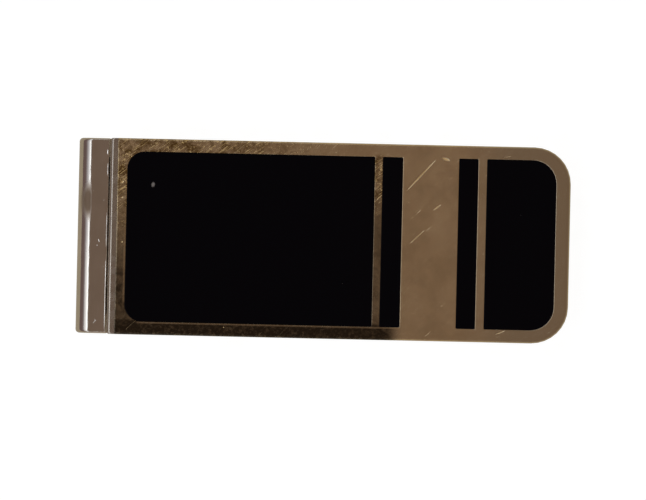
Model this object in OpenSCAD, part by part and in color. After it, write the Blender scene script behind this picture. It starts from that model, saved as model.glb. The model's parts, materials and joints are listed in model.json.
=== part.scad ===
// Money clip: an enamelled front on a backing plate, with a sprung back arm hinged on a pin.
// +X runs from the barrel to the open end, +Y across, +Z up to the enamelled face.
// The origin is at the middle of the underside. All sizes are in millimetres.

/* [Overall] */
// Length from the barrel to the round-cornered end
overall_length = 51; // [40:0.5:65]
// Width of the front
overall_width = 20.3; // [15:0.1:30]
// Radius of the two outer corners at the open end
corner_radius = 3.8; // [1:0.1:6]

/* [Front plates] */
// Thickness of the gold-tone face plate
face_thickness = 0.8; // [0.6:0.05:1.5]
// Thickness of the backing plate
base_thickness = 0.8; // [0.5:0.05:1.5]
// Width of the backing plate that shows beside the face plate
lip_width = 0.8; // [0.4:0.1:2]
// Rounding of the face plate's outer top edge
edge_round = 0.35; // [0.1:0.05:0.5]
// Rounding of the lip's top edge
lip_round = 0.3; // [0.1:0.05:0.4]

/* [Enamel] */
// Depth of the enamel and of its pockets
enamel_depth = 0.4; // [0.2:0.05:0.5]
// Gold border along the two long sides
side_border = 1.35; // [0.8:0.05:3]
// Gold border beside the lip
barrel_end_border = 1; // [0.6:0.1:3]
// Gold border at the open end
open_end_border = 1.5; // [0.8:0.1:3]
// Length of the end panel
end_panel_length = 7.2; // [3:0.1:12]
// Gold bar between the end panel and the outer stripe
end_bar = 0.9; // [0.4:0.1:2]
// Width of the outer stripe
outer_stripe_width = 2; // [1:0.1:4]
// Wide gold band between the two stripes
wide_band = 5.8; // [2:0.1:10]
// Width of the inner stripe
inner_stripe_width = 2.1; // [1:0.1:4]
// Gold bar between the inner stripe and the main panel
inner_bar = 0.8; // [0.4:0.1:2]
// Corner radius of the main panel on the barrel side
main_corner_radius = 1.8; // [0.5:0.1:3]

/* [Barrel and hinge] */
// Outer diameter of the barrel, which is also its height
barrel_diameter = 2.9; // [2.6:0.1:4.5]
// How far the curled sheet runs flat past the hinge axis, towards the lip
flap_length = 1.65; // [1.2:0.05:2.5]
// Rounding of the barrel's outer end edges
barrel_end_round = 0.35; // [0.1:0.05:0.45]
// Diameter of the hinge pin
pin_diameter = 0.9; // [0.7:0.05:1.2]
// Width of each hinge eye
eye_width = 3.2; // [2:0.1:4]
// Gap between each hinge eye and the plug beside it
eye_end_gap = 0.6; // [0.2:0.1:1.5]
// Thickness of the strap that joins an eye to the backing plate
strap_thickness = 0.5; // [0.3:0.05:0.7]
// How far the strap's top lies below the hinge axis
strap_drop = 0.15; // [0.05:0.05:0.4]
// Length of the plug in each end of the barrel
plug_length = 1.2; // [0.8:0.1:1.5]
// How far each plug sits inside the barrel's end
plug_recess = 0.1; // [0.05:0.05:0.4]

/* [Back arm] */
// Thickness of the arm's sheet
arm_thickness = 0.5; // [0.35:0.05:0.6]
// Width of the arm past its shoulders
arm_width = 14; // [10:0.5:20]
// Length of the tapering shoulders
shoulder_length = 6; // [3:0.5:12]
// Distance from the open end to the pinching crest
crest_inset = 11.5; // [8:0.5:16]
// Distance from the open end to the arm's tip
tip_inset = 3.5; // [1:0.5:8]
// Slope of the ramp up to the crest, in degrees
ramp_angle = 14; // [8:1:25]
// Slope of the turned-down tip, in degrees
tip_angle = 12; // [5:1:20]
// Centre-line radius of the bend at the foot of the ramp
foot_radius = 6; // [2:0.5:10]
// Centre-line radius of the crest
crest_radius = 4; // [2:0.5:10]
// Corner radius of the arm's tip
tip_corner_radius = 4; // [1:0.5:7]

/* [Spring] */
// Diameter of the spring wire
wire_diameter = 0.35; // [0.25:0.05:0.4]
// Least gap between the coil and each hinge eye
coil_end_gap = 1.5; // [0.5:0.1:3]
// Spacing of the turns
coil_pitch = 0.5; // [0.42:0.02:0.6]
// Length of each leg past the barrel
leg_length = 3.6; // [2:0.2:6]

/* [Clearances] */
// Radial clearance between the pin and a hinge eye
pin_clearance = 0.03; // [0.01:0.01:0.1]
// Radial clearance between a hinge eye and the curled sheet
eye_clearance = 0.06; // [0.02:0.01:0.1]
// Radial clearance between the pin and the spring's coil
coil_clearance = 0.05; // [0.02:0.01:0.1]
// Opening between the barrel's edge and the lip, seen from above
barrel_gap = 0.2; // [0.1:0.05:0.5]
// Height of the backing plate's underside above the barrel's flat top, which swings under it
flap_clearance = 0.15; // [0.1:0.05:2]
// Gap between the crest and the backing plate when closed
crest_gap = 0.15; // [0.05:0.05:0.5]
// How much shorter the barrel is than the front is wide, at each end
barrel_inset = 0.03; // [0:0.01:0.5]
// Gap between a hinge strap and the path of the barrel's free edge
strap_gap = 0.2; // [0.15:0.05:0.5]
// Gap between the spring's upper leg and the backing plate
leg_gap = 0.05; // [0.02:0.01:0.2]

/* [Hidden] */
$fn = 64;
x_left = -overall_length / 2;
x_right = overall_length / 2;
half_width = overall_width / 2;

// barrel and hinge
barrel_r = barrel_diameter / 2;
bore_r = barrel_r - arm_thickness;
axis_x = x_left + barrel_r;
axis_z = barrel_r;
barrel_half = half_width - barrel_inset;
eye_r = bore_r - eye_clearance;
pin_r = pin_diameter / 2;
eye_bore_r = pin_r + pin_clearance;
lip_x = axis_x + flap_length + barrel_gap;
flap_reach = norm([flap_length, barrel_r]);
strap_x = axis_x + flap_reach + strap_gap;
strap_top = axis_z - strap_drop;
strap_bottom = strap_top - strap_thickness;
plug_end = barrel_half - plug_recess;
eye_inset = plug_end - plug_length - eye_end_gap - eye_width;

// heights
base_z = barrel_diameter + flap_clearance;
face_z = base_z + base_thickness;
top_z = face_z + face_thickness;
pocket_z = top_z - enamel_depth;

// places along the front
face_x = lip_x + lip_width;
end_x1 = x_right - open_end_border;
end_x0 = end_x1 - end_panel_length;
outer_x1 = end_x0 - end_bar;
outer_x0 = outer_x1 - outer_stripe_width;
inner_x1 = outer_x0 - wide_band;
inner_x0 = inner_x1 - inner_stripe_width;
main_x1 = inner_x0 - inner_bar;
main_x0 = face_x + barrel_end_border;
panel_half = half_width - side_border;
end_corner_radius = max(0.5, corner_radius - side_border);

// arm centre line
crest_x = x_right - crest_inset;
tip_x = x_right - tip_inset;
arm_mid_z = arm_thickness / 2;
crest_z = base_z - crest_gap - arm_thickness / 2;
rise = crest_z - arm_mid_z;
ramp_length = (rise - (foot_radius + crest_radius) * (1 - cos(ramp_angle))) / sin(ramp_angle);
ramp_run = (foot_radius + crest_radius) * sin(ramp_angle) + ramp_length * cos(ramp_angle);
foot_x = crest_x - ramp_run;
tip_x0 = crest_x + crest_radius * sin(tip_angle);
tip_z0 = crest_z - crest_radius * (1 - cos(tip_angle));
tip_length = (tip_x - tip_x0) / cos(tip_angle) + arm_thickness;
shoulder_x = strap_x + strap_thickness;
bend_step = 2;

// spring
wire_r = wire_diameter / 2;
coil_r = pin_r + coil_clearance + wire_r;
coil_turns = floor(2 * (eye_inset - coil_end_gap) / coil_pitch);
coil_half = coil_turns * coil_pitch / 2;
coil_steps = 20;
wire_sides = 8;
hook_r = 1.5 * wire_r;
// in degrees: how far into its last turn the coil ends, then the upper leg's slopes under and past the barrel
coil_end = 290;
leg_rise = 5;
leg_climb = 60;

// ---------- shared shapes ----------

// Stands a drawing in X and Z upright and makes it as long as w, centred across the clip.
module across(w) {
    rotate([90, 0, 0])
        linear_extrude(height = w, center = true)
            children();
}

// A cylinder along Y between y0 and y1, on the hinge axis.
module axle(r, y0, y1) {
    translate([axis_x, y0, axis_z])
        rotate([-90, 0, 0])
            cylinder(r = r, h = y1 - y0);
}

// What is cut off a square corner to round it: the arc's centre and radius, and the way the corner points.
module corner_waste(x, y, r, dx, dy) {
    difference() {
        translate([x + dx * (r + 1) / 2, y + dy * (r + 1) / 2])
            square(r + 1, center = true);
        translate([x, y])
            circle(r = r);
    }
}

// The front's outline from x0 on: square there, round-cornered at the open end.
module front_outline(x0) {
    difference() {
        translate([x0, -half_width])
            square([x_right - x0, overall_width]);
        for (s = [-1, 1])
            corner_waste(x_right - corner_radius, s * (half_width - corner_radius), corner_radius, 1, s);
    }
}

// An inlay's outline, with its own radius for the corners at each end.
module inlay_outline(x0, x1, r0, r1) {
    difference() {
        translate([x0, -panel_half])
            square([x1 - x0, 2 * panel_half]);
        for (s = [-1, 1]) {
            if (r0 > 0)
                corner_waste(x0 + r0, s * (panel_half - r0), r0, -1, s);
            if (r1 > 0)
                corner_waste(x1 - r1, s * (panel_half - r1), r1, 1, s);
        }
    }
}

module main_outline() {
    inlay_outline(main_x0, main_x1, main_corner_radius, 0);
}

module inner_stripe_outline() {
    inlay_outline(inner_x0, inner_x1, 0, 0);
}

module outer_stripe_outline() {
    inlay_outline(outer_x0, outer_x1, 0, 0);
}

module end_outline() {
    inlay_outline(end_x0, end_x1, 0, end_corner_radius);
}

// Enamel fired level with the top of its pocket.
module enamel() {
    translate([0, 0, pocket_z])
        linear_extrude(height = enamel_depth)
            children();
}

// ---------- front ----------

// One hinge eye with the strap that drops from the backing plate.
module hinge_eye(y0) {
    axle(eye_r, y0, y0 + eye_width);
    translate([axis_x, y0, strap_bottom])
        cube([strap_x - axis_x + strap_thickness, eye_width, strap_thickness]);
    translate([strap_x, y0, strap_bottom])
        cube([strap_thickness, eye_width, base_z - strap_bottom + base_thickness / 2]);
}

module base_plate() {
    color("silver")
        difference() {
            union() {
                translate([0, 0, base_z])
                    linear_extrude(height = base_thickness)
                        front_outline(lip_x);
                hinge_eye(eye_inset);
                hinge_eye(-eye_inset - eye_width);
            }
            axle(eye_bore_r, -half_width, half_width);
            // round the lip's top edge
            across(overall_width + 1)
                difference() {
                    translate([lip_x - 1, face_z - lip_round])
                        square([lip_round + 1, lip_round + 1]);
                    translate([lip_x + lip_round, face_z - lip_round])
                        circle(r = lip_round);
                }
        }
}

module face_plate() {
    color("goldenrod")
        difference() {
            translate([0, 0, face_z])
                linear_extrude(height = face_thickness)
                    front_outline(face_x);
            translate([0, 0, pocket_z])
                linear_extrude(height = enamel_depth + 1) {
                    main_outline();
                    inner_stripe_outline();
                    outer_stripe_outline();
                    end_outline();
                }
            face_edge_waste();
        }
}

// What is cut off the face plate to round its outer top edge.
module face_edge_waste() {
    z = top_z - edge_round;
    straight = x_right - corner_radius;
    // the two long sides
    for (s = [-1, 1])
        difference() {
            translate([face_x - 1, s * (half_width - edge_round / 2 + 0.5) - edge_round / 2 - 0.5, z])
                cube([straight - face_x + 1, edge_round + 1, edge_round + 1]);
            translate([face_x - 2, s * (half_width - edge_round), z])
                rotate([0, 90, 0])
                    cylinder(r = edge_round, h = straight - face_x + 3);
        }
    // the open end
    difference() {
        translate([x_right - edge_round, corner_radius - half_width, z])
            cube([edge_round + 1, overall_width - 2 * corner_radius, edge_round + 1]);
        translate([x_right - edge_round, -half_width, z])
            rotate([-90, 0, 0])
                cylinder(r = edge_round, h = overall_width);
    }
    // the two round corners
    for (s = [-1, 1])
        translate([straight, s * (half_width - corner_radius), z])
            rotate(s > 0 ? 0 : -90)
                rotate_extrude(angle = 90)
                    difference() {
                        translate([corner_radius - edge_round, 0])
                            square([edge_round + 1, edge_round + 1]);
                        translate([corner_radius - edge_round, 0])
                            circle(r = edge_round);
                    }
}

module enamel_main_panel() {
    color("black")
        enamel()
            main_outline();
}

module enamel_inner_stripe() {
    color("black")
        enamel()
            inner_stripe_outline();
}

module enamel_outer_stripe() {
    color("black")
        enamel()
            outer_stripe_outline();
}

module enamel_end_panel() {
    color("black")
        enamel()
            end_outline();
}

// ---------- back arm and hinge ----------

// The sheet's centre line past the barrel, as [x, z, slope]: flat, foot bend, ramp, crest, tip.
function arm_line() = concat(
    [[axis_x, arm_mid_z, 0]],
    [for (a = [0 : bend_step : ramp_angle])
        [foot_x + foot_radius * sin(a), arm_mid_z + foot_radius * (1 - cos(a)), a]],
    [for (a = [ramp_angle : -bend_step : -tip_angle])
        [crest_x - crest_radius * sin(a), crest_z - crest_radius * (1 - cos(a)), a]],
    [[tip_x0 + tip_length * cos(tip_angle), tip_z0 - tip_length * sin(tip_angle), -tip_angle]]);

// A point t away from the sheet's centre line, square to it.
function beside(p, t) = [p[0] - t * sin(p[2]), p[1] + t * cos(p[2])];

// Side view of the bent sheet past the barrel.
module sheet_profile() {
    line = arm_line();
    n = len(line);
    polygon(concat([for (i = [0 : n - 1]) beside(line[i], arm_thickness / 2)],
                   [for (i = [n - 1 : -1 : 0]) beside(line[i], -arm_thickness / 2)]));
}

// Side view of the barrel's mouth, between the flat sheet below and the flap above.
module mouth_profile() {
    translate([axis_x, arm_thickness])
        square([flap_length + 1, 2 * bore_r]);
}

// The flat top of the barrel, from over the hinge axis to the free edge beside the lip.
module flap() {
    translate([axis_x, -barrel_half, axis_z + bore_r])
        cube([flap_length, 2 * barrel_half, arm_thickness]);
}

// Plan view of the arm: as wide as the barrel, tapering shoulders, round-cornered tip.
module arm_outline() {
    taper_x = shoulder_x + shoulder_length;
    arm_half = arm_width / 2;
    corner_x = tip_x - tip_corner_radius;
    corner_y = arm_half - tip_corner_radius;
    difference() {
        polygon([[x_left - 1, -barrel_half], [shoulder_x, -barrel_half], [taper_x, -arm_half],
                 [tip_x, -arm_half], [tip_x, arm_half], [taper_x, arm_half],
                 [shoulder_x, barrel_half], [x_left - 1, barrel_half]]);
        corner_waste(corner_x, corner_y, tip_corner_radius, 1, 1);
        corner_waste(corner_x, -corner_y, tip_corner_radius, 1, -1);
    }
}

// What is cut off one end of the barrel to round its outer edge.
module barrel_end_waste() {
    translate([axis_x, barrel_half - barrel_end_round, axis_z])
        rotate([-90, 0, 0])
            rotate_extrude()
                difference() {
                    translate([barrel_r - barrel_end_round, 0])
                        square([barrel_end_round + 1, barrel_end_round + 1]);
                    translate([barrel_r - barrel_end_round, 0])
                        circle(r = barrel_end_round);
                }
}

module clip_arm() {
    color("gainsboro")
        difference() {
            union() {
                axle(barrel_r, -barrel_half, barrel_half);
                flap();
                intersection() {
                    across(2 * barrel_half)
                        sheet_profile();
                    translate([0, 0, -1])
                        linear_extrude(height = top_z + 2)
                            arm_outline();
                }
            }
            axle(bore_r, -half_width, half_width);
            across(2 * half_width + 1)
                mouth_profile();
            // round both ends of the barrel, but not the sheet that leaves it
            intersection() {
                union() {
                    barrel_end_waste();
                    mirror([0, 1, 0])
                        barrel_end_waste();
                }
                translate([x_left - 2, -half_width - 2, -2])
                    cube([barrel_r + 2, overall_width + 4, top_z + 4]);
            }
        }
}

module hinge_pin() {
    color("dimgray")
        axle(pin_r, -plug_end, plug_end);
}

module barrel_plug(y0) {
    color("gray")
        difference() {
            axle(bore_r, y0, y0 + plug_length);
            axle(pin_r, y0 - 1, y0 + plug_length + 1);
        }
}

module barrel_plug_left() {
    barrel_plug(-plug_end);
}

module barrel_plug_right() {
    barrel_plug(plug_end - plug_length);
}

// ---------- spring ----------

// A point of the spring, given from the hinge axis.
function at(x, y, z) = [axis_x + x, y, axis_z + z];

// Arm-side leg: runs in along the arm and meets the bottom of the coil.
function leg_in() =
    let (reach = barrel_r + leg_length)
    [for (i = [0 : 3]) at(reach * (1 - i / 4), -coil_half, -coil_r)];

// The coil, from its bottom round and round to where the outer hook begins.
function coil() =
    let (turn = 360 * (coil_turns - 1) + coil_end)
    let (steps = ceil(turn / 360 * coil_steps))
    [for (i = [0 : steps])
        let (a = 270 - turn * i / steps)
        at(coil_r * cos(a), -coil_half + 2 * coil_half * i / steps, coil_r * sin(a))];

// Where the coil ends, and the way the wire is heading there.
end_angle = 270 - (360 * (coil_turns - 1) + coil_end);
end_point = [coil_r * cos(end_angle), coil_r * sin(end_angle)];
end_heading = atan2(-cos(end_angle), sin(end_angle));

// Outer hook: turns the wire back outwards until it points along the upper leg.
hook_turn = (leg_rise - end_heading + 720) % 360;
hook_centre = end_point + hook_r * [-sin(end_heading), cos(end_heading)];
function on_hook(a) = hook_centre + hook_r * [sin(end_heading + a), -cos(end_heading + a)];
function hook() =
    [for (i = [1 : 6])
        let (p = on_hook(hook_turn * i / 6))
        at(p[0], coil_half, p[1])];

// Plate-side leg: runs low under the flap's path, climbs past it, then lies along the plate's underside.
leg_top = base_z - axis_z - wire_r - leg_gap;
leg_turn_x = flap_reach + strap_gap;
function leg_out() =
    let (p = on_hook(hook_turn))
    let (low = p[1] + (leg_turn_x - p[0]) * tan(leg_rise))
    let (run = (leg_top - low) / tan(leg_climb))
    [at((p[0] + leg_turn_x) / 2, coil_half, (p[1] + low) / 2),
     at(leg_turn_x, coil_half, low),
     at(leg_turn_x + run, coil_half, leg_top),
     at(leg_turn_x + run + leg_length / 3, coil_half, leg_top)];

function unit(v) = v / norm(v);

// Sweeps a round wire along a list of points.
module wire(path) {
    n = len(path);
    m = wire_sides;
    rings = [for (i = [0 : n - 1])
        let (t = unit(path[min(i + 1, n - 1)] - path[max(i - 1, 0)]))
        let (u = unit(cross(t, [0, 1, 0])))
        let (v = cross(t, u))
        for (j = [0 : m - 1])
            path[i] + wire_r * (cos(360 * j / m) * u + sin(360 * j / m) * v)];
    sides = [for (i = [0 : n - 2], j = [0 : m - 1])
        [i * m + j, i * m + (j + 1) % m, (i + 1) * m + (j + 1) % m, (i + 1) * m + j]];
    start_cap = [[for (j = [m - 1 : -1 : 0]) j]];
    end_cap = [[for (j = [0 : m - 1]) (n - 1) * m + j]];
    polyhedron(points = rings, faces = concat(sides, start_cap, end_cap), convexity = 10);
}

module torsion_spring() {
    color("darkgray")
        wire(concat(leg_in(), coil(), hook(), leg_out()));
}

base_plate();
face_plate();
enamel_main_panel();
enamel_inner_stripe();
enamel_outer_stripe();
enamel_end_panel();
clip_arm();
hinge_pin();
barrel_plug_left();
barrel_plug_right();
torsion_spring();
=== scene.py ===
"""Money clip: a gold-plated, black-enamelled front on a nickel-plated back, with a sprung arm that hinges in
a barrel across one end."""

import json
import math

import bmesh
import bpy
from mathutils import Euler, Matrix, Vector


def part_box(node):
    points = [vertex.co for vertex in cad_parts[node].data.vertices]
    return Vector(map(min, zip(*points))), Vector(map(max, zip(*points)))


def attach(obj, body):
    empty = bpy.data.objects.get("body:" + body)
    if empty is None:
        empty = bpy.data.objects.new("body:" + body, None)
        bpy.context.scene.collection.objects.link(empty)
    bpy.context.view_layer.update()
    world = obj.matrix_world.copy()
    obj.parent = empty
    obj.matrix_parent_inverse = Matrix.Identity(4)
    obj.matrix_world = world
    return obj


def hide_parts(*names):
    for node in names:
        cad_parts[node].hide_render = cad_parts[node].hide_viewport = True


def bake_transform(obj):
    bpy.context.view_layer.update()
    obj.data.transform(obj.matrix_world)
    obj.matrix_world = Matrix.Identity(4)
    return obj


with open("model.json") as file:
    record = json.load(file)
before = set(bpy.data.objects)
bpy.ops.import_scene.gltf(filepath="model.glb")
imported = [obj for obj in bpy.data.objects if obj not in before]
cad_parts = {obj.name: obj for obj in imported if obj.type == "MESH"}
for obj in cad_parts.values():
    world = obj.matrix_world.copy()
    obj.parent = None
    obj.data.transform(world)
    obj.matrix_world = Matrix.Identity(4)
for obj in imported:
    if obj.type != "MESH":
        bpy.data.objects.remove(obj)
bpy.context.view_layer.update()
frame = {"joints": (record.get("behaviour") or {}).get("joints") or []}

# ---------- sizes, in metres ----------

MM = 0.001
FINE = 0.02 * MM            # the least corner radius, so that no two points of an outline meet
CORNER_STEPS = 8            # faces round a quarter corner
ROUND_STEPS = 5             # faces round a rolled edge
TURNED_SIDES = 48           # faces round a turned piece
GUARD = 0.06 * MM           # flat strip beside a rolled edge, which keeps the shading of the flat clean
SAME_POINT = 1e-9           # points closer than this are made one
SAME_WIRE_POINT = 1e-7      # the same for the swept wire

face_lo, face_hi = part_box("face_plate")
arm_lo, arm_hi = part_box("clip_arm")
pin_lo, pin_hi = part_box("hinge_pin")
plug_lo, plug_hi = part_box("barrel_plug_right")
pocket_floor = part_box("enamel_main_panel")[0].z
axis_x, _, axis_z = next(j["pos_m"] for j in frame["joints"] if j["name"] == "arm_hinge")

# front plates
CORNER_RADIUS = 3.8 * MM
FACE_CORNER = 0.1 * MM      # the gold plate's corners beside the lip
LIP_CORNER = 0.25 * MM
EDGE_ROUND = 0.35 * MM      # rolled outer edge of the gold plate
LIP_EDGE = 0.04 * MM        # the gold plate's edge beside the lip
RIM_ROUND = 0.05 * MM       # polished rim of each pocket
LIP_WIDTH = 0.8 * MM
LIP_ROUND = 0.3 * MM
BROKEN_EDGE = 0.05 * MM     # edges of the backing plate that are only broken
BASE_THICKNESS = 0.8 * MM
lip_x = face_lo.x - LIP_WIDTH
base_z = face_lo.z - BASE_THICKNESS

# enamel
INLAY_CORNER = 0.12 * MM    # the inlays' squarest corners
MAIN_CORNER = 1.8 * MM      # main panel, barrel end
END_CORNER = 2.45 * MM      # end panel, open end
ENAMEL_GAP = 0.006 * MM     # hairline between the enamel and its pocket
ENAMEL_SINK = 0.03 * MM     # the enamel is stoned down to just under the rim
ENAMEL_EDGE = 0.04 * MM
ENAMEL_CROWN = 0.015 * MM   # how much it swells between edge and middle
# the crown's profile: mm from the edge, and part of the full crown
ENAMEL_SWELL = ((0.12, 0.35), (0.3, 0.7), (0.55, 0.92), (0.85, 1.0))

# hinge eyes
EYE_INSET = 5.02 * MM
EYE_WIDTH = 3.2 * MM
EYE_CLEARANCE = 0.06 * MM
PIN_CLEARANCE = 0.03 * MM
STRAP_THICKNESS = 0.5 * MM
STRAP_DROP = 0.15 * MM
STRAP_GAP = 0.2 * MM
STRAP_BEND = 0.3 * MM
STRAP_EDGE = 0.06 * MM
STRAP_OVERLAP = 0.02 * MM   # how far the strap starts inside the eye
STRAP_BURY = BASE_THICKNESS / 4         # and how far it goes up into the plate
pin_radius = (pin_hi.x - pin_lo.x) / 2
bore_radius = (plug_hi.x - plug_lo.x) / 2
eye_radius = bore_radius - EYE_CLEARANCE
eye_bore = pin_radius + PIN_CLEARANCE

# pin and plugs
PIN_CHAMFER = 0.12 * MM
PLUG_CHAMFER = 0.06 * MM

# back arm
BARREL_GAP = 0.2 * MM
barrel_radius = axis_x - arm_lo.x
sheet = barrel_radius - bore_radius
barrel_half = arm_hi.y
flap_length = lip_x - BARREL_GAP - axis_x
strap_x = axis_x + math.hypot(flap_length, barrel_radius) + STRAP_GAP
BARREL_END_ROUND = 0.38 * MM
FREE_EDGE_BURR = 0.1 * MM   # how far the shears drew the free edge out
SHEET_EDGE = 0.09 * MM
SPAN_STEPS = 4              # faces across a bent sheet
FLAT_TOP_START = 0.85       # where the flat top's stations start, as a part of the flap's length
FLAT_TOP_END = 0.02 * MM    # and where they end, just short of the axis
FLAT_TOP_STEPS = 6
ROLL_STEPS = 72             # faces round the barrel
ROUND_FADES = (205, 270)    # degrees round the barrel over which its end rounding fades out
SHOULDER = 6 * MM
SHOULDER_LEAD = 0.4 * MM    # straight stretch before the shoulders
FLAT_STATIONS = (-10 * MM, -3 * MM)     # places along the flat that keep its faces from getting long
ARM_HALF = 7 * MM
RAMP_ANGLE = 14
TIP_ANGLE = 12
TIP_STEPS = 12
EDGE_STEPS = 3              # faces over the rounded thickness of the two cut ends
FOOT_RADIUS = 6 * MM
CREST_RADIUS = 4 * MM
CREST_GAP = 0.15 * MM
CREST_INSET = 11.5 * MM
TIP_INSET = 3.5 * MM
TIP_CORNER = 4 * MM

# spring
WIRE_RADIUS = 0.175 * MM
WIRE_SIDES = 12
COIL_CLEARANCE = 0.05 * MM
coil_radius = pin_radius + COIL_CLEARANCE + WIRE_RADIUS
COIL_TURNS = 14
COIL_HALF = 3.5 * MM
COIL_LAST = 290             # degrees into its last turn at which the coil ends
COIL_STEPS = 28
HOOK_RADIUS = 1.5 * WIRE_RADIUS
HOOK_STEPS = 10
LEG_RISE = 5                # slopes of the upper leg, under and past the barrel
LEG_CLIMB = 60
LEG_GAP = 0.05 * MM
LEG_LENGTH = 3.6 * MM
LEG_STEPS = 4               # straight pieces of the lower leg
LEG_REST = LEG_LENGTH / 3   # how far the upper leg runs along under the plate


def turn(degrees, radius=1.0):
    """The point at that angle on a circle."""
    angle = math.radians(degrees)
    return radius * math.cos(angle), radius * math.sin(angle)


# ---------- wear and painted light, in mm ---

# listed marks: x, y, direction in degrees, length and width, strength
# gold scratches: the material paints them lighter, as painted glints where they catch the light
GOLD_MARKS = [
    (10.0, 7.0, 48, 4.6, 0.15, 1.0), (11.7, 3.7, 37, 1.1, 0.13, 0.9), (9.7, 0.6, 44, 2.2, 0.1, 0.8),
    (12.5, 8.7, -19, 1.0, 0.34, 0.9), (5.7, 4.6, 46, 0.9, 0.12, 1.0), (18.5, -9.1, 23, 1.2, 0.12, 0.6),
    (-20.9, 5.6, 30, 0.35, 0.25, 1.0), (-20.9, 4.0, 15, 0.3, 0.16, 0.8), (-20.8, -0.6, 0, 0.2, 0.16, 0.8),
    (-10.1, -9.2, 0, 0.18, 0.14, 0.7), (18.9, 9.1, 8, 0.9, 0.1, 0.4),
]
# on the barrel's shoulder: a darker, duller patch, painted shade that breaks the window's highlight
BARREL_HIGHLIGHT_BREAK = [(-24.45, 3.6, 90, 4.6, 1.75, 1.0)]
# on the nickel: lines and spots painted lighter as glints; the long ones along the free edge are a painted
# highlight line
BARREL_GLINTS = [
    (-22.44, -6.0, 90, 9.0, 0.14, 0.9), (-22.44, 0.6, 90, 4.4, 0.11, 0.7),
    (-22.44, 6.9, 90, 1.6, 0.12, 0.7), (-22.46, 8.7, 90, 0.7, 0.2, 0.8),
    (-23.2, -0.5, 115, 0.4, 0.13, 0.6), (-23.5, -8.95, 55, 0.45, 0.08, 0.4),
    (-23.4, -8.75, 125, 0.35, 0.07, 0.3),
]
ENAMEL_MARKS = [
    (-17.7, 5.4, 80, 0.62, 0.44, 1.0), (2.1, -4.4, 0, 0.07, 0.06, 0.5), (20.4, 3.1, 0, 0.07, 0.06, 0.4),
]

# zones of wear on the gold: where each starts and where it is full
BAR_X = 5.6                                             # middle of the narrow bar
BAR_SIDE, BAR_END = (0.6, 0.4), (9.2, 8.6)
BAR_TOP, BAR_FOOT = (1, 6), (7, 1)
SCUFF_X, SCUFF_Y = (4, -12), (-3, 7)
NEAR_BORDER, NEAR_BORDER_END = (-7.8, -8.8), (8.6, 6.6)
BARREL_BORDER, BARREL_BORDER_END = (-18.4, -20.4), (8, -6.5)
LOW_RIM_Y = -8.88                                       # middle of the long pocket's rim, near side
LOW_RIM_SIDE, LOW_RIM_START = (0.13, 0.04), (-19.4, -18.6)
LEFT_RIM_X = -20.5                                      # and at its barrel end
LEFT_RIM_SIDE, LEFT_RIM_START = (0.16, 0.05), (-7.2, -6.4)
OPEN_END = (13, 21)
BARREL_SHOULDER = (-24.05, -24.2)                       # on the barrel: the painted shade that breaks the highlight ends at the flat top


# ---------- materials ----------

def linear(code):
    """A hex sRGB colour as the linear colour that a shader takes."""
    channels = [int(code[i:i + 2], 16) / 255 for i in (1, 3, 5)]
    return (*[c / 12.92 if c < 0.04045 else ((c + 0.055) / 1.055) ** 2.4 for c in channels], 1.0)


def add(tree, kind, feeds=None, **settings):
    """Adds a node with its settings, and sets or links the inputs named in feeds."""
    node = tree.nodes.new(kind)
    for name, value in settings.items():
        setattr(node, name, value)
    for name, value in (feeds or {}).items():
        if isinstance(value, bpy.types.NodeSocket):
            tree.links.new(value, node.inputs[name])
        else:
            node.inputs[name].default_value = value
    return node


def new_material(name):
    """An empty material, its tree and its place on the piece in metres."""
    material = bpy.data.materials.new(name)
    material.use_nodes = True
    material.node_tree.nodes.clear()
    place = add(material.node_tree, "ShaderNodeTexCoord").outputs["Object"]
    return material, material.node_tree, place


def surface(tree, shader):
    """Makes that shader the material's surface."""
    add(tree, "ShaderNodeOutputMaterial", {"Surface": shader.outputs[0]})


def metal(tree, colour, roughness, **normal):
    """Makes the surface bare metal."""
    surface(tree, add(tree, "ShaderNodeBsdfPrincipled", {
        "Base Color": colour, "Metallic": 1.0, "Roughness": roughness, **normal}))


def maths(tree, operation, *values):
    """The result of one step of arithmetic."""
    return add(tree, "ShaderNodeMath", dict(enumerate(values)), operation=operation).outputs[0]


def ramp(tree, value, start=0.0, full=1.0, low=0.0, high=1.0):
    """Low before start, high past full, and a straight slope between."""
    return add(tree, "ShaderNodeMapRange", {"Value": value, "From Min": start, "From Max": full,
                                            "To Min": low, "To Max": high}).outputs[0]


def soft_ramp(tree, value, start, full):
    """0 before start, 1 past full, and a soft step between."""
    return add(tree, "ShaderNodeMapRange", {"Value": value, "From Min": start, "From Max": full},
               interpolation_type="SMOOTHSTEP").outputs[0]


def zone(tree, value, start, full):
    """A soft ramp between two places in mm."""
    return soft_ramp(tree, value, start * MM, full * MM)


def blend(tree, amount, under, over):
    """The first colour where amount is 0, the second where it is 1."""
    return add(tree, "ShaderNodeMix", {0: amount, 6: under, 7: over}, data_type="RGBA").outputs[2]


def noise(tree, place, size, detail, roughness=0.5, distortion=0.0):
    """Cloudy noise with lumps of that size in mm."""
    return add(tree, "ShaderNodeTexNoise", {"Vector": place, "Scale": 1 / (size * MM), "Detail": detail,
                                            "Roughness": roughness, "Distortion": distortion}).outputs["Fac"]


def relief(tree, height, strength, depth, over=None, sunk=False):
    """Relief of that depth in mm, raised or sunk, laid over other relief if there is any."""
    feeds = {"Height": height, "Strength": strength, "Distance": depth * MM}
    if over is not None:
        feeds["Normal"] = over
    return add(tree, "ShaderNodeBump", feeds, invert=sunk).outputs[0]


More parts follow.
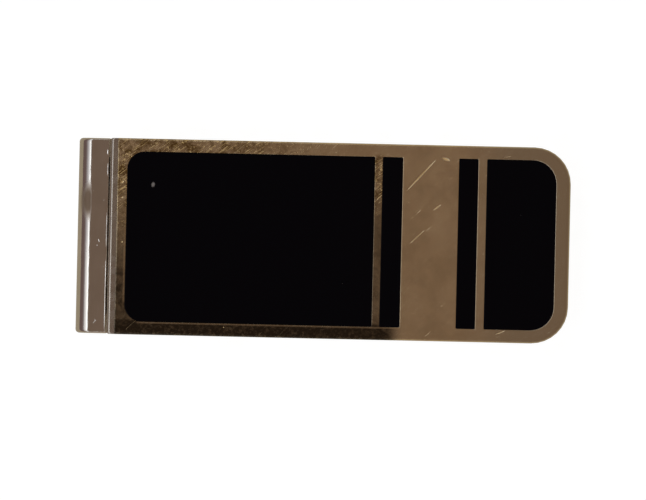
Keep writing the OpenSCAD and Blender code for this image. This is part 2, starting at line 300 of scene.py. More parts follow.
def marks(tree, place, spots):
    """Listed marks, each a spindle: x, y, direction in degrees, length and width in mm, strength."""
    total = None
    for x, y, angle, length, width, strength in spots:
        local = add(tree, "ShaderNodeMapping", {
            "Vector": place, "Location": (x * MM, y * MM, 0), "Rotation": (0, 0, math.radians(angle)),
            "Scale": (length * MM / 2, width * MM / 2, 1)}, vector_type="TEXTURE")
        away = add(tree, "ShaderNodeVectorMath", {0: local.outputs[0]}, operation="LENGTH")
        mark = ramp(tree, away.outputs["Value"], 1.0, 0.4, high=strength)
        total = mark if total is None else maths(tree, "MAXIMUM", total, mark)
    return total


def slanting_scratches(tree, place, angle, along, across, low, high):
    """Parallel scratches: their direction in degrees, length and spacing in mm, and the noise levels
    between which they show, which set how rare they are."""
    local = add(tree, "ShaderNodeMapping", {
        "Vector": place, "Rotation": (0, 0, math.radians(angle)),
        "Scale": (along * MM, across * MM, 1 * MM)}, vector_type="TEXTURE")
    streaks = add(tree, "ShaderNodeTexNoise", {"Vector": local.outputs[0], "Scale": 1.0, "Detail": 3.0})
    return ramp(tree, streaks.outputs["Fac"], low, high)


def gold_scuffs(tree, x, y, place, on_bar, crumb, mottle):
    """How much painted sheen, and how much brown bloom, the scuffed barrel-end corner and the top of the
    narrow bar get: their rubs and flecks are painted lighter as a painted sheen.
    """
    corner = maths(tree, "MULTIPLY", zone(tree, x, *SCUFF_X), zone(tree, y, *SCUFF_Y))
    bar_top = maths(tree, "MULTIPLY", on_bar, zone(tree, y, *BAR_TOP))
    scuffed = maths(tree, "MAXIMUM", corner, bar_top)
    fleck = ramp(tree, crumb, 0.58, 0.68)
    rub = maths(tree, "MULTIPLY", slanting_scratches(
        tree, place, angle=36, along=1.3, across=0.13, low=0.56, high=0.72), 0.85)
    # rubs and flecks in the scuffed places are painted lighter: a painted sheen
    glinting_marks = maths(tree, "MULTIPLY", scuffed, maths(tree, "MAXIMUM", rub, fleck))
    bloom = maths(tree, "MULTIPLY", scuffed, ramp(tree, mottle, 0.6, 0.4))
    return glinting_marks, bloom


def gold_tarnish_and_dark_reflection(tree, x, y, on_bar, crumb, mottle):
    """How dark the near border, the foot of the barrel end's border and the foot of the narrow bar are:
    tarnish together with a painted dark reflection.
    """
    near = maths(tree, "MULTIPLY", zone(tree, y, *NEAR_BORDER), zone(tree, x, *NEAR_BORDER_END))
    left = maths(tree, "MULTIPLY", zone(tree, x, *BARREL_BORDER), zone(tree, y, *BARREL_BORDER_END))
    bar_foot = maths(tree, "MULTIPLY", maths(tree, "MULTIPLY", on_bar, zone(tree, y, *BAR_FOOT)), 0.72)
    dull = maths(tree, "MULTIPLY", maths(tree, "MAXIMUM", left, bar_foot),
                 ramp(tree, mottle, 0.4, 0.6, low=1.0, high=0.75))
    near = maths(tree, "MULTIPLY", near, ramp(tree, crumb, 0.5, 0.7, low=1.0, high=0.8))
    tarnish_and_dark_reflection = maths(tree, "MAXIMUM", dull, near)
    # the rims of the long pocket are darkened less, as a painted highlight where those rims catch the light
    rims = []
    for across, middle, side, along, start in ((y, LOW_RIM_Y, LOW_RIM_SIDE, x, LOW_RIM_START),
                                               (x, LEFT_RIM_X, LEFT_RIM_SIDE, y, LEFT_RIM_START)):
        away = maths(tree, "ABSOLUTE", maths(tree, "SUBTRACT", across, middle * MM))
        rims.append(maths(tree, "MULTIPLY", zone(tree, away, *side), zone(tree, along, *start)))
    kept = ramp(tree, maths(tree, "MAXIMUM", *rims), low=1.0, high=0.6)
    return maths(tree, "MULTIPLY", tarnish_and_dark_reflection, kept)


def gold_plated_brass():
    """Gold-plated brass, stamped, plated and polished by hand, then carried loose: soft warm metal with
    fine slanting scratches painted lighter as painted glints, a scuffed corner and bar whose rubs and flecks
    are painted lighter as a painted sheen among a brown bloom, and dark tarnish with a painted dark
    reflection along the near border, the foot of the barrel end's border and the foot of the bar."""
    material, tree, place = new_material("gold_plated_brass")
    xyz = add(tree, "ShaderNodeSeparateXYZ", {"Vector": place})
    x, y = xyz.outputs["X"], xyz.outputs["Y"]

    cloud = noise(tree, place, size=3.5, detail=5.0, roughness=0.6)
    mottle = noise(tree, place, size=0.9, detail=6.0, roughness=0.75, distortion=0.5)
    crumb = noise(tree, place, size=0.32, detail=3.0, roughness=0.7)
    grain = slanting_scratches(tree, place, angle=47, along=1.6, across=0.11, low=0.5, high=0.75)
    stray = slanting_scratches(tree, place, angle=44, along=3.0, across=0.15, low=0.73, high=0.8)

    from_bar = maths(tree, "ABSOLUTE", maths(tree, "SUBTRACT", x, BAR_X * MM))
    on_bar = maths(tree, "MULTIPLY", zone(tree, from_bar, *BAR_SIDE), zone(tree, y, *BAR_END))
    glinting_marks, bloom = gold_scuffs(tree, x, y, place, on_bar, crumb, mottle)
    tarnish_and_dark_reflection = gold_tarnish_and_dark_reflection(tree, x, y, on_bar, crumb, mottle)
    # the scratches are painted lighter in colour: painted glints
    scratch_glint = maths(tree, "MAXIMUM", maths(tree, "MULTIPLY", stray, 0.6), marks(tree, place, GOLD_MARKS))

    # the open end is a little greyer than the middle
    greyer = zone(tree, x, *OPEN_END)
    colour = blend(tree, ramp(tree, cloud, 0.35, 0.65), linear("#DAC299"), linear("#EDD6AC"))
    # the dark brown is tarnish and a painted dark reflection; the two light golds are painted sheen and
    # painted glints
    for amount, code in ((greyer, "#D2C2A2"), (bloom, "#8A6F42"), (tarnish_and_dark_reflection, "#453C2F"),
                         (glinting_marks, "#FFE09A"), (scratch_glint, "#FFDE9C")):
        colour = blend(tree, amount, colour, linear(code))

    # scuffs and scratches scatter the light, which is what makes them show
    roughness = ramp(tree, grain, low=0.19, high=0.27)
    for amount, gain in ((glinting_marks, 0.26), (scratch_glint, 0.3)):
        roughness = maths(tree, "MULTIPLY_ADD", amount, gain, roughness)
    fine = relief(tree, grain, strength=0.4, depth=0.004, sunk=True)
    metal(tree, colour, roughness,
          Normal=relief(tree, scratch_glint, strength=1.0, depth=0.03, over=fine, sunk=True))
    return material


def polished_nickel():
    """Nickel-plated spring steel, rolled, bent and buffed: warm bright metal with hair scratches, specks
    painted lighter as painted glints, a painted highlight line along its free edge, and a darker, duller
    patch on the barrel's shoulder, painted shade that breaks the window's highlight there."""
    material, tree, place = new_material("polished_nickel_plate")
    hair = slanting_scratches(tree, place, angle=84, along=4.0, across=0.09, low=0.55, high=0.8)
    speck = ramp(tree, noise(tree, place, size=0.3, detail=1.0), 0.77, 0.84)
    # specks and listed marks are painted lighter: painted glints, and a painted highlight line along the free
    # edge
    glinting_marks = maths(tree, "MAXIMUM", speck, marks(tree, place, BARREL_GLINTS))
    x = add(tree, "ShaderNodeSeparateXYZ", {"Vector": place}).outputs["X"]
    # a darker, duller patch on the shoulder: painted shade that breaks the window's highlight
    highlight_break = maths(tree, "MULTIPLY", marks(tree, place, BARREL_HIGHLIGHT_BREAK), zone(tree, x, *BARREL_SHOULDER))
    cloud = noise(tree, place, size=2.5, detail=5.0)
    colour = blend(tree, cloud, linear("#C9BFAF"), linear("#E0D6C7"))
    for amount, code in ((highlight_break, "#9E8A73"), (glinting_marks, "#FFF8EC")):
        colour = blend(tree, amount, colour, linear(code))
    roughness = ramp(tree, hair, low=0.12, high=0.22)
    for amount, gain in ((highlight_break, 0.55), (glinting_marks, 0.15)):
        roughness = maths(tree, "MULTIPLY_ADD", amount, gain, roughness)
    fine = relief(tree, hair, strength=0.5, depth=0.003)
    metal(tree, colour, roughness, Normal=relief(tree, glinting_marks, strength=1.0, depth=0.02, over=fine))
    return material


def satin_nickel():
    """Nickel-plated brass sheet with the satin of the rolling mill left on it: soft, greyer, with faint
    broad streaks along the clip."""
    material, tree, place = new_material("satin_nickel_plate")
    lines = slanting_scratches(tree, place, angle=2, along=6.0, across=0.9, low=0.4, high=0.7)
    cloud = noise(tree, place, size=1.2, detail=5.0)
    colour = blend(tree, cloud, linear("#AFA392"), linear("#BFB2A0"))
    metal(tree, colour, ramp(tree, lines, low=0.24, high=0.32),
          Normal=relief(tree, lines, strength=0.3, depth=0.003))
    return material


def black_enamel():
    """Black vitreous enamel, fired and stoned to just under the rim: deep glassy black with the faintest
    blue, an almost invisible orange peel and a few grey pinholes."""
    material, tree, place = new_material("black_vitreous_enamel")
    peel = noise(tree, place, size=2.5, detail=2.0)
    colour = blend(tree, marks(tree, place, ENAMEL_MARKS), linear("#030309"), linear("#98938B"))
    surface(tree, add(tree, "ShaderNodeBsdfPrincipled", {
        "Base Color": colour, "Roughness": ramp(tree, peel, low=0.04, high=0.09), "IOR": 1.52,
        "Specular IOR Level": 0.1, "Normal": relief(tree, peel, strength=0.1, depth=0.02)}))
    return material


def turned_steel():
    """Steel rod, turned and cut off: grey metal with fine rings from the tool across its ends."""
    material, tree, place = new_material("turned_steel")
    centred = add(tree, "ShaderNodeMapping", {"Vector": place, "Location": (-axis_x, 0, -axis_z)})
    rings = add(tree, "ShaderNodeTexWave", {"Vector": centred.outputs[0], "Scale": 1 / (0.6 * MM),
                                            "Distortion": 0.6, "Detail": 2.0},
                wave_type="RINGS", rings_direction="Y").outputs["Fac"]
    colour = blend(tree, rings, linear("#A9A7A4"), linear("#C2C0BC"))
    metal(tree, colour, ramp(tree, rings, low=0.24, high=0.36),
          Normal=relief(tree, rings, strength=0.3, depth=0.004))
    return material


def spring_wire():
    """Hard-drawn spring wire: mid-grey steel with the faint oily mottle left by the drawing die."""
    material, tree, place = new_material("drawn_spring_wire")
    mottle = noise(tree, place, size=0.3, detail=4.0)
    colour = blend(tree, mottle, linear("#7E7C7A"), linear("#A8A5A1"))
    metal(tree, colour, ramp(tree, mottle, low=0.2, high=0.36))
    return material


PAPER_GLOW = 0.98                           # how brightly the camera sees the paper glow
PAPER_IN_METAL = (0.415, 0.375, 0.305, 1)   # what everything else sees of it


def seamless_paper():
    """White studio paper lit through from below: the eye sees plain white, the metal sees it warmer and
    dimmer."""
    material, tree, place = new_material("seamless_paper")
    tone = blend(tree, noise(tree, place, size=2, detail=3.0), linear("#FBFBFA"), linear("#FFFFFF"))
    lit = add(tree, "ShaderNodeEmission", {"Color": tone, "Strength": PAPER_GLOW})
    matt = add(tree, "ShaderNodeBsdfDiffuse", {"Color": linear("#6E6E6E")})
    seen = add(tree, "ShaderNodeAddShader", {0: lit.outputs[0], 1: matt.outputs[0]})
    mirrored = add(tree, "ShaderNodeEmission", {"Color": PAPER_IN_METAL, "Strength": 1.0})
    ray = add(tree, "ShaderNodeLightPath")
    surface(tree, add(tree, "ShaderNodeMixShader", {0: ray.outputs["Is Camera Ray"], 1: mirrored.outputs[0],
                                                    2: seen.outputs[0]}))
    return material


GOLD = gold_plated_brass()
NICKEL = polished_nickel()
SATIN = satin_nickel()
ENAMEL = black_enamel()
STEEL = turned_steel()
WIRE = spring_wire()


# ---------- shaping ----------

def clean(bm, least):
    """Makes one of points that meet, and turns the faces outwards."""
    bmesh.ops.remove_doubles(bm, verts=bm.verts, dist=least)
    bmesh.ops.recalc_face_normals(bm, faces=bm.faces)


def place_object(name, mesh):
    """An object at the origin that shows the mesh."""
    obj = bpy.data.objects.new(name, mesh)
    bpy.context.scene.collection.objects.link(obj)
    return obj


def make_object(name, bm, material):
    """A smooth-shaded object at the origin from a closed bmesh."""
    clean(bm, SAME_POINT)
    mesh = bpy.data.meshes.new(name)
    bm.to_mesh(mesh)
    bm.free()
    mesh.shade_smooth()
    mesh.materials.append(material)
    return place_object(name, mesh)


def settle(obj, body, node):
    """The piece moves with its body and stands for its CAD node, which is hidden."""
    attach(obj, body)
    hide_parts(node)


def rings_of(bm, loops):
    """The loops of points as rings of vertices."""
    return [[bm.verts.new(p) for p in loop] for loop in loops]


def skin(bm, rings, closed=False):
    """Joins each ring to the next with a band of faces, and the last to the first if closed."""
    pairs = list(zip(rings, rings[1:]))
    if closed:
        pairs.append((rings[-1], rings[0]))
    for a, b in pairs:
        for i in range(len(a)):
            j = (i + 1) % len(a)
            bm.faces.new((a[i], a[j], b[j], b[i]))


def cap(bm, *rings):
    """Closes each ring with one face."""
    for ring in rings:
        bm.faces.new(ring)


def spread(start, end, steps):
    """Values from start to end in equal steps."""
    return [start + (end - start) * i / steps for i in range(steps + 1)]


def oblong(x0, x1, half, left_radius, right_radius, z):
    """An oblong outline at height z, with its own corner radius at each end."""
    points = []
    for x, side, radius, start in ((x0, -1, left_radius, 180), (x1, -1, right_radius, 270),
                                   (x1, 1, right_radius, 0), (x0, 1, left_radius, 90)):
        radius = max(radius, FINE)
        middle_x = x + radius if x == x0 else x - radius
        middle_y = side * (half - radius)
        for i in range(CORNER_STEPS + 1):
            dx, dy = turn(start + 90 * i / CORNER_STEPS, radius)
            points.append(Vector((middle_x + dx, middle_y + dy, z)))
    return points


def rolled(radius):
    """A rolled edge as steps of inset and drop, from the wall up to the flat."""
    steps = []
    for i in range(ROUND_STEPS + 1):
        dx, dz = turn(90 * i / ROUND_STEPS, radius)
        steps.append((radius - dx, radius - dz))
    return steps


# ---------- the front ----------

def gold_front():
    """The face plate: rolled outer edge, four sunk pockets with polished rims."""
    bm = bmesh.new()
    x0, x1, half = face_lo.x, face_hi.x, face_hi.y
    z0, z1 = face_lo.z, face_hi.z

    def edge(inset, left_inset, z):
        return oblong(x0 + left_inset, x1 - inset, half - inset, FACE_CORNER, CORNER_RADIUS - inset, z)

    outside = [edge(0, 0, z0)]
    for (inset, drop), (left, _) in zip(rolled(EDGE_ROUND), rolled(LIP_EDGE)):
        outside.append(edge(inset, left, z1 - drop))
    outside.append(edge(EDGE_ROUND + GUARD, LIP_EDGE + GUARD, z1))
    outer = rings_of(bm, outside)
    skin(bm, outer)
    cap(bm, outer[0])

    top_edges = [outer[-1]]
    for lo, hi, left_radius, right_radius in inlays():
        def wall(grow, z):
            return oblong(lo.x - grow, hi.x + grow, hi.y + grow, left_radius + grow, right_radius + grow, z)

        loops = [wall(0, pocket_floor)]
        for inset, drop in rolled(RIM_ROUND):
            loops.append(wall(inset, z1 - drop))
        loops.append(wall(RIM_ROUND + GUARD, z1))
        pocket = rings_of(bm, loops)
        skin(bm, pocket)
        cap(bm, pocket[0])
        top_edges.append(pocket[-1])
    edges = []
    for ring in top_edges:
        for i, vert in enumerate(ring):
            edges.append(bm.edges.get((vert, ring[(i + 1) % len(ring)])))
    bmesh.ops.triangle_fill(bm, edges=edges, use_beauty=True)
    return make_object("gold_front", bm, GOLD)


def inlays():
    """Each inlay's box and the corner radius at its barrel end and at its open end."""
    radii = {"enamel_main_panel": (MAIN_CORNER, INLAY_CORNER),
             "enamel_inner_stripe": (INLAY_CORNER, INLAY_CORNER),
             "enamel_outer_stripe": (INLAY_CORNER, INLAY_CORNER),
             "enamel_end_panel": (INLAY_CORNER, END_CORNER)}
    return [(*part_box(node), *pair) for node, pair in radii.items()]


def enamel_inlay(name, lo, hi, left_radius, right_radius):
    """One inlay: a slab of enamel with a soft edge and a barely crowned top."""
    bm = bmesh.new()

    def edge(inset, z):
        inset += ENAMEL_GAP
        return oblong(lo.x + inset, hi.x - inset, hi.y - inset, left_radius - inset, right_radius - inset, z)

    top = hi.z - ENAMEL_SINK
    loops = [edge(0, lo.z + ENAMEL_GAP)]
    for inset, drop in rolled(ENAMEL_EDGE):
        loops.append(edge(inset, top - drop))
    for inset, rise in ENAMEL_SWELL:
        loops.append(edge(inset * MM, top + rise * ENAMEL_CROWN))
    rings = rings_of(bm, loops)
    skin(bm, rings)
    cap(bm, rings[0], rings[-1])
    return make_object(name, bm, ENAMEL)


def backing_sheet():
    """The backing plate's flat sheet, with the lip's top edge rolled and the others just broken."""
    bm = bmesh.new()
    x1, half, z1 = face_hi.x, face_hi.y, face_lo.z

    def edge(inset, left_inset, z):
        return oblong(lip_x + left_inset, x1 - inset, half - inset, LIP_CORNER, CORNER_RADIUS - inset, z)

    loops = [edge(BROKEN_EDGE + GUARD, BROKEN_EDGE + GUARD, base_z), edge(BROKEN_EDGE, BROKEN_EDGE, base_z),
             edge(0, 0, base_z + BROKEN_EDGE)]
    for (inset, _), (left, drop) in zip(rolled(BROKEN_EDGE), rolled(LIP_ROUND)):
        loops.append(edge(0 if drop else inset, left, z1 - drop))
    loops.append(edge(BROKEN_EDGE + GUARD, LIP_ROUND + GUARD, z1))
    rings = rings_of(bm, loops)
    skin(bm, rings)
    cap(bm, rings[0], rings[-1])
    return make_object("silver_back", bm, SATIN)


def bent_sheet(bm, stations, thickness, middle_y=0.0):
    """A strip of sheet metal. Each station is its place x, z on the centre line, the outward direction,
    the half width, the rounding of the outer and inner edges, and how full its thickness is there."""
    rings = []
    for x, z, out, half, outer_round, inner_round, full in stations:
        ring = []
        for side, radius in ((1, outer_round * full), (-1, inner_round * full)):
            flat = half - radius - GUARD
            ring += [(side * h, side * thickness / 2 * full) for h in spread(-flat, flat, SPAN_STEPS)]
            ring += [(side * (half - inset), side * (thickness / 2 * full - drop))
                     for inset, drop in reversed(rolled(radius))]
            ring += [(side * (half - inset), -side * (thickness / 2 * full - drop))
                     for inset, drop in rolled((inner_round if side > 0 else outer_round) * full)]
        rings.append([Vector((x + out[0] * h, middle_y + v, z + out[1] * h)) for v, h in ring])
    rings = rings_of(bm, rings)
    skin(bm, rings)
    cap(bm, rings[0], rings[-1])


def turned(bm, profile, hollow):
    """A piece turned on the hinge axis from steps of y and radius. A hollow one closes on itself."""
    loops = []
    for y, radius in profile:
        loop = []
        for i in range(TURNED_SIDES):
            dx, dz = turn(360 * i / TURNED_SIDES, radius)
            loop.append(Vector((axis_x + dx, y, axis_z + dz)))
        loops.append(loop)
    rings = rings_of(bm, loops)
    skin(bm, rings, closed=hollow)
    if not hollow:
        cap(bm, rings[0], rings[-1])


def tube_profile(y0, y1, bore, radius, broken):
    """Outline of a tube with broken edges, as y and radius."""
    return [(y0, bore + broken), (y0, radius - broken - GUARD), (y0, radius - broken), (y0 + broken, radius),
            (y1 - broken, radius), (y1, radius - broken), (y1, radius - broken - GUARD), (y1, bore + broken),
            (y1 - broken, bore), (y0 + broken, bore)]


def strap_stations():
    """The strap's centre line from inside the eye, along under the plate, then up into it."""
    low = axis_z - STRAP_DROP - STRAP_THICKNESS / 2
    upright = strap_x + STRAP_THICKNESS / 2
    inside_eye = math.sqrt(eye_radius ** 2 - (STRAP_DROP + STRAP_THICKNESS) ** 2) - STRAP_OVERLAP
    line = [(axis_x + inside_eye, low, (0, -1))]
    for i in range(CORNER_STEPS + 1):
        dx, dz = turn(270 + 90 * i / CORNER_STEPS)
        line.append((upright - STRAP_BEND + dx * STRAP_BEND, low + STRAP_BEND + dz * STRAP_BEND, (dx, dz)))
    line.append((upright, base_z + STRAP_BURY, (1, 0)))
    return [(x, z, out, EYE_WIDTH / 2, STRAP_EDGE, STRAP_EDGE, 1) for x, z, out in line]


def silver_back():
    """The backing plate with its two hinge eyes, joined into one closed piece."""
    plate = backing_sheet()
    additions = []
    for y0 in (EYE_INSET, -EYE_INSET - EYE_WIDTH):
        strap = bmesh.new()
        bent_sheet(strap, strap_stations(), STRAP_THICKNESS, y0 + EYE_WIDTH / 2)
        additions.append(make_object("strap", strap, SATIN))
        eye = bmesh.new()
        turned(eye, tube_profile(y0, y0 + EYE_WIDTH, eye_bore, eye_radius, BROKEN_EDGE), True)
        additions.append(make_object("eye", eye, SATIN))
    for piece in additions:
        union = plate.modifiers.new("union", "BOOLEAN")
        union.operation = "UNION"
        union.solver = "EXACT"
        union.object = piece
    bake_modifiers(plate)
    for piece in additions:
        bpy.data.objects.remove(piece)
    return plate


def bake_modifiers(obj):
    """Turns the object's modifiers into its mesh and removes them."""
    evaluated = obj.evaluated_get(bpy.context.evaluated_depsgraph_get())
    mesh = bpy.data.meshes.new_from_object(evaluated)
    obj.modifiers.clear()
    obj.data = mesh
    mesh.name = obj.name


# ---------- the arm, pin and spring ----------

def arm_half_width(x):
    """Half the arm's width at x: as wide as the barrel, then shoulders, then parallel, then round corners."""
    shoulder = strap_x + STRAP_THICKNESS
    corner = face_hi.x - TIP_INSET - TIP_CORNER
    if x <= shoulder:
        return barrel_half
    if x < shoulder + SHOULDER:
        return barrel_half + (ARM_HALF - barrel_half) * (x - shoulder) / SHOULDER
    if x < corner:
        return ARM_HALF
    return ARM_HALF - TIP_CORNER + math.sqrt(max(0.0, TIP_CORNER ** 2 - (x - corner) ** 2))


def barrel_stations():
    """From the free edge over the barrel's flat top and round the barrel to its underside."""
    centre = barrel_radius - sheet / 2
    line = []
    # the free edge, rounded over its thickness
    for i in range(EDGE_STEPS + 1):
        thin, reach = turn(90 / EDGE_STEPS * i, SHEET_EDGE)
        line.append((axis_x + flap_length + FREE_EDGE_BURR - SHEET_EDGE + thin, axis_z + centre, (0, 1),
                     BARREL_END_ROUND, 1 - 2 * (SHEET_EDGE - reach) / sheet))
    for x in spread(flap_length * FLAT_TOP_START, FLAT_TOP_END, FLAT_TOP_STEPS):
        line.append((axis_x + x, axis_z + centre, (0, 1), BARREL_END_ROUND, 1))
    start, end = ROUND_FADES
    for i in range(ROLL_STEPS + 1):
        angle = 90 + 180 * i / ROLL_STEPS
        dx, dz = turn(angle)
        faded = min(1.0, max(0.0, (angle - start) / (end - start)))
        edge = BARREL_END_ROUND + (SHEET_EDGE - BARREL_END_ROUND) * faded
        line.append((axis_x + centre * dx, axis_z + centre * dz, (dx, dz), edge, 1))
    return [(x, z, out, barrel_half, edge, SHEET_EDGE, full) for x, z, out, edge, full in line]


def tail_stations():
    """From the barrel along the flat, up the ramp, over the crest to the tip."""
    middle = sheet / 2
    shoulder = strap_x + STRAP_THICKNESS
    crest_x = face_hi.x - CREST_INSET
    crest_z = base_z - CREST_GAP - sheet / 2
    tip_x = face_hi.x - TIP_INSET
    ramp_cos, ramp_sin = turn(RAMP_ANGLE)
    bend = (FOOT_RADIUS + CREST_RADIUS) * (1 - ramp_cos)
    ramp_length = (crest_z - middle - bend) / ramp_sin
    foot_x = crest_x - (FOOT_RADIUS + CREST_RADIUS) * ramp_sin - ramp_length * ramp_cos
    line = [(x, middle, (0, -1), 1)
            for x in (shoulder - SHOULDER_LEAD, shoulder, shoulder + SHOULDER, *FLAT_STATIONS)]
    for i in range(RAMP_ANGLE + 1):
        c, s = turn(i)
        line.append((foot_x + FOOT_RADIUS * s, middle + FOOT_RADIUS * (1 - c), (s, -c), 1))
    for i in range(RAMP_ANGLE, -TIP_ANGLE - 1, -1):
        c, s = turn(i)
        line.append((crest_x - CREST_RADIUS * s, crest_z - CREST_RADIUS * (1 - c), (s, -c), 1))
    # the straight fall to the tip, then its cut end, rounded over its thickness
    c, s = turn(TIP_ANGLE)
    fall_x, fall_z = crest_x + CREST_RADIUS * s, crest_z - CREST_RADIUS * (1 - c)
    for i in range(TIP_STEPS + 1):
        x = tip_x - TIP_CORNER + (TIP_CORNER - SHEET_EDGE) * turn(90 * i / TIP_STEPS)[1]
        line.append((x, fall_z - (x - fall_x) * s / c, (-s, -c), 1))
    for i in range(1, EDGE_STEPS + 1):
        reach, thin = turn(90 - 90 / EDGE_STEPS * i, SHEET_EDGE)
        x = tip_x - SHEET_EDGE + reach - sheet / 2 * s
        line.append((x, fall_z - (x - fall_x) * s / c, (-s, -c), 1 - 2 * (SHEET_EDGE - thin) / sheet))
    return [(x, z, out, arm_half_width(x), SHEET_EDGE, SHEET_EDGE, full) for x, z, out, full in line]


def sprung_arm():
    """The back arm, one bent sheet from the barrel's free edge to the tip."""
    bm = bmesh.new()
    bent_sheet(bm, barrel_stations() + tail_stations(), sheet)
    return make_object("sprung_arm", bm, NICKEL)


def steel_pin():
    """The hinge pin, with its ends chamfered."""
    bm = bmesh.new()
    cut = pin_radius - PIN_CHAMFER
    turned(bm, [(pin_lo.y, cut - GUARD), (pin_lo.y, cut), (pin_lo.y + PIN_CHAMFER, pin_radius),
                (pin_hi.y - PIN_CHAMFER, pin_radius), (pin_hi.y, cut), (pin_hi.y, cut - GUARD)], False)
    return make_object("steel_pin", bm, STEEL)


def end_plug(name, node):
    """A plug for one end of the barrel."""
    lo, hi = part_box(node)
    bm = bmesh.new()
    turned(bm, tube_profile(lo.y, hi.y, pin_radius, bore_radius, PLUG_CHAMFER), True)
    return make_object(name, bm, STEEL)


def spring_route():
    """The wire's centre line: leg along the arm, coil, hook, and the leg that climbs to the plate."""
    reach = barrel_radius + LEG_LENGTH
    points = [(reach * (1 - i / LEG_STEPS), -COIL_HALF, -coil_radius) for i in range(LEG_STEPS)]
    sweep = 360 * (COIL_TURNS - 1) + COIL_LAST
    steps = math.ceil(sweep / 360 * COIL_STEPS)
    for i in range(steps + 1):
        dx, dz = turn(270 - sweep * i / steps, coil_radius)
        points.append((dx, -COIL_HALF + 2 * COIL_HALF * i / steps, dz))
    heading = 270 - sweep - 90
    bend = (LEG_RISE - heading) % 360
    end_x, end_z = turn(270 - sweep, coil_radius)
    side_x, side_z = turn(heading + 90, HOOK_RADIUS)
    for i in range(1, HOOK_STEPS + 1):
        dx, dz = turn(heading - 90 + bend * i / HOOK_STEPS, HOOK_RADIUS)
        points.append((end_x + side_x + dx, COIL_HALF, end_z + side_z + dz))
    x, _, z = points[-1]
    turn_x = strap_x - axis_x
    low = z + (turn_x - x) * math.tan(math.radians(LEG_RISE))
    leg_top = base_z - axis_z - WIRE_RADIUS - LEG_GAP
    top_x = turn_x + (leg_top - low) / math.tan(math.radians(LEG_CLIMB))
    points += [((x + turn_x) / 2, COIL_HALF, (z + low) / 2), (turn_x, COIL_HALF, low),
               (top_x, COIL_HALF, leg_top), (top_x + LEG_REST, COIL_HALF, leg_top)]
    return [Vector((axis_x + x, y, axis_z + z)) for x, y, z in points]


def wire_sweep():
    """Geometry nodes that sweep a round wire along a route of edges, and the name of each input."""
    tree = bpy.data.node_groups.new("wire_sweep", "GeometryNodeTree")
    ports = {}
    for label, kind in (("Route", "Geometry"), ("Wire radius", "Float"), ("Sides", "Int"),
                        ("Material", "Material")):
        ports[label] = tree.interface.new_socket(label, in_out="INPUT", socket_type="NodeSocket" + kind)
    tree.interface.new_socket("Wire", in_out="OUTPUT", socket_type="NodeSocketGeometry")
    given = add(tree, "NodeGroupInput").outputs
    route = add(tree, "GeometryNodeMeshToCurve", {"Mesh": given["Route"]})
    section = add(tree, "GeometryNodeCurvePrimitiveCircle", {"Resolution": given["Sides"],
                                                             "Radius": given["Wire radius"]})
    swept = add(tree, "GeometryNodeCurveToMesh", {"Curve": route.outputs[0],
                                                  "Profile Curve": section.outputs[0], "Fill Caps": True})
    real = add(tree, "GeometryNodeRealizeInstances", {0: swept.outputs[0]})
    dressed = add(tree, "GeometryNodeSetMaterial", {"Geometry": real.outputs[0],
                                                    "Material": given["Material"]})
    add(tree, "NodeGroupOutput", {0: dressed.outputs[0]})
    return tree, {label: port.identifier for label, port in ports.items()}


def wire_spring():
    """The torsion spring, swept by Geometry Nodes along its route and made a plain mesh."""
    mesh = bpy.data.meshes.new("wire_spring")
    route = spring_route()
    mesh.from_pydata(route, [(i, i + 1) for i in range(len(route) - 1)], [])
    obj = place_object("wire_spring", mesh)
    tree, port = wire_sweep()
    sweep = obj.modifiers.new("sweep", "NODES")
    sweep.node_group = tree
    sweep[port["Wire radius"]] = WIRE_RADIUS
    sweep[port["Sides"]] = WIRE_SIDES
    sweep[port["Material"]] = WIRE
    bake_modifiers(obj)
    bm = bmesh.new()
    bm.from_mesh(obj.data)
    clean(bm, SAME_WIRE_POINT)
    bm.to_mesh(obj.data)
    bm.free()
    obj.data.shade_smooth()
    return obj


# ---------- putting it together ----------

settle(gold_front(), "front", "face_plate")
settle(silver_back(), "front", "base_plate")
for name, node, (lo, hi, left, right) in zip(
        ("black_main_panel", "black_inner_stripe", "black_outer_stripe", "black_end_panel"),
        ("enamel_main_panel", "enamel_inner_stripe", "enamel_outer_stripe", "enamel_end_panel"), inlays()):
    settle(enamel_inlay(name, lo, hi, left, right), "front", node)
settle(sprung_arm(), "arm", "clip_arm")
settle(steel_pin(), "arm", "hinge_pin")
settle(end_plug("left_plug", "barrel_plug_left"), "arm", "barrel_plug_left")
settle(end_plug("right_plug", "barrel_plug_right"), "arm", "barrel_plug_right")

spring = wire_spring()
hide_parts("torsion_spring")
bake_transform(spring)


# ---------- floor, light and camera ----------

FLOOR_SIZE = 4                          # metres
ZENITH = (0.2, 0.15, 0.125, 1)
HORIZON = (0.34, 0.3, 0.27, 1)
HORIZON_FADES = (0.5, 0.05)             # heights on the unit sphere between which the room lightens
BARREL_SIDE = (0.17, 0.125, 0.13, 1)
BARREL_SIDE_FADES = (-0.35, -0.65)      # the same, along X
WINDOW = (1.36, 1.5, 1.78, 1)
WINDOW_TOP = 17                         # degrees off overhead, towards the barrel's side
WINDOW_EDGE = 1.5                       # degrees over which its top edge fades
WINDOW_FOOT = 62
WINDOW_FALL = 1.5                       # how fast it dims from top to foot
BACKDROP = "#FBFBFA"
LAMP_COLOUR = (0.88, 0.94, 1.0)
CAMERA_TILT = (-0.08, -0.17, 1.30)      # degrees
CAMERA_DISTANCE = 0.7
CAMERA_AIM = Vector((0.00003, -0.00097, 0))
CAMERA_LENS = 374.7                     # mm
CAMERA_SENSOR = 36                      # mm


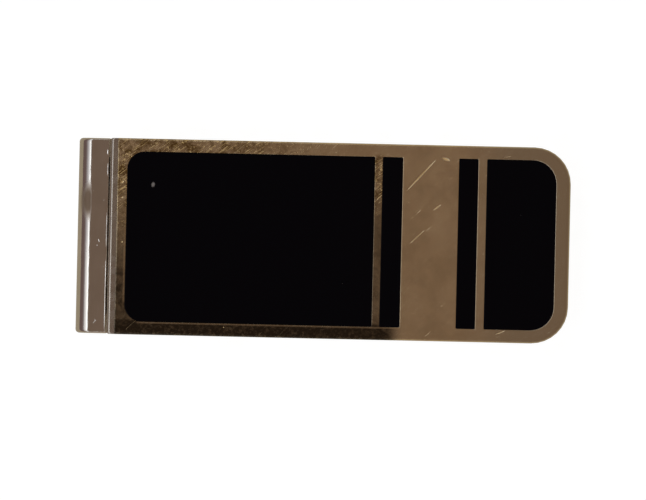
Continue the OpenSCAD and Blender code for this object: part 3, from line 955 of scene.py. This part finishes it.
def room_light():
    """A dim warm room overhead that lightens towards the horizon, and a tall window on the barrel's side,
    brightest at its top. The camera sees a plain backdrop instead."""
    world = bpy.data.worlds.new("room")
    bpy.context.scene.world = world
    world.use_nodes = True
    tree = world.node_tree
    tree.nodes.clear()
    direction = add(tree, "ShaderNodeTexCoord").outputs["Generated"]
    xyz = add(tree, "ShaderNodeSeparateXYZ", {"Vector": direction})
    x, z = xyz.outputs["X"], xyz.outputs["Z"]
    room = blend(tree, soft_ramp(tree, z, *HORIZON_FADES), ZENITH, HORIZON)
    room = blend(tree, soft_ramp(tree, x, *BARREL_SIDE_FADES), room, BARREL_SIDE)
    lean = maths(tree, "ARCTAN2", maths(tree, "MULTIPLY", x, -1.0), z)
    top, fade, foot = (math.radians(a) for a in (WINDOW_TOP, WINDOW_TOP - WINDOW_EDGE, WINDOW_FOOT))
    glow = maths(tree, "POWER", ramp(tree, lean, foot, top), WINDOW_FALL)
    glow = maths(tree, "MULTIPLY", glow, ramp(tree, lean, fade, top))
    room = blend(tree, glow, room, WINDOW)
    ray = add(tree, "ShaderNodeLightPath")
    room = blend(tree, ray.outputs["Is Camera Ray"], room, linear(BACKDROP))
    light = add(tree, "ShaderNodeBackground", {"Color": room, "Strength": 1.0})
    add(tree, "ShaderNodeOutputWorld", {"Surface": light.outputs[0]})


def softbox(name, lean, distance, across, along, middle_y, radiance):
    """A soft light on the barrel's side, leaning that many degrees from overhead. The camera can't see it."""
    lamp = bpy.data.lights.new(name, "AREA")
    lamp.shape = "RECTANGLE"
    lamp.size, lamp.size_y = across, along
    lamp.energy = radiance * math.pi * across * along
    lamp.color = LAMP_COLOUR
    obj = place_object(name, lamp)
    reach, height = turn(90 - lean, distance)
    obj.location = (axis_x - reach, middle_y, height)
    obj.visible_camera = False
    obj.rotation_euler = (0, math.radians(-lean), 0)


def studio():
    """White paper floor, the room round it and two soft lights."""
    bm = bmesh.new()
    bmesh.ops.create_grid(bm, x_segments=1, y_segments=1, size=FLOOR_SIZE)
    make_object("floor", bm, seamless_paper())
    room_light()
    softbox("long_softbox", lean=22, distance=0.35, across=0.05, along=0.4, middle_y=0, radiance=0.6)
    softbox("near_card", lean=30, distance=0.06, across=0.03, along=0.06, middle_y=-0.031, radiance=0.35)


def set_camera():
    """A long lens almost straight above the middle of the clip."""
    camera = bpy.data.cameras.new("camera")
    camera.sensor_width = CAMERA_SENSOR
    camera.lens = CAMERA_LENS
    stand = place_object("camera", camera)
    stand.rotation_euler = Euler([math.radians(a) for a in CAMERA_TILT])
    stand.location = CAMERA_AIM + stand.rotation_euler.to_matrix() @ Vector((0, 0, CAMERA_DISTANCE))
    bpy.context.scene.camera = stand


studio()
set_camera()
bpy.context.scene.view_settings.view_transform = "Standard"
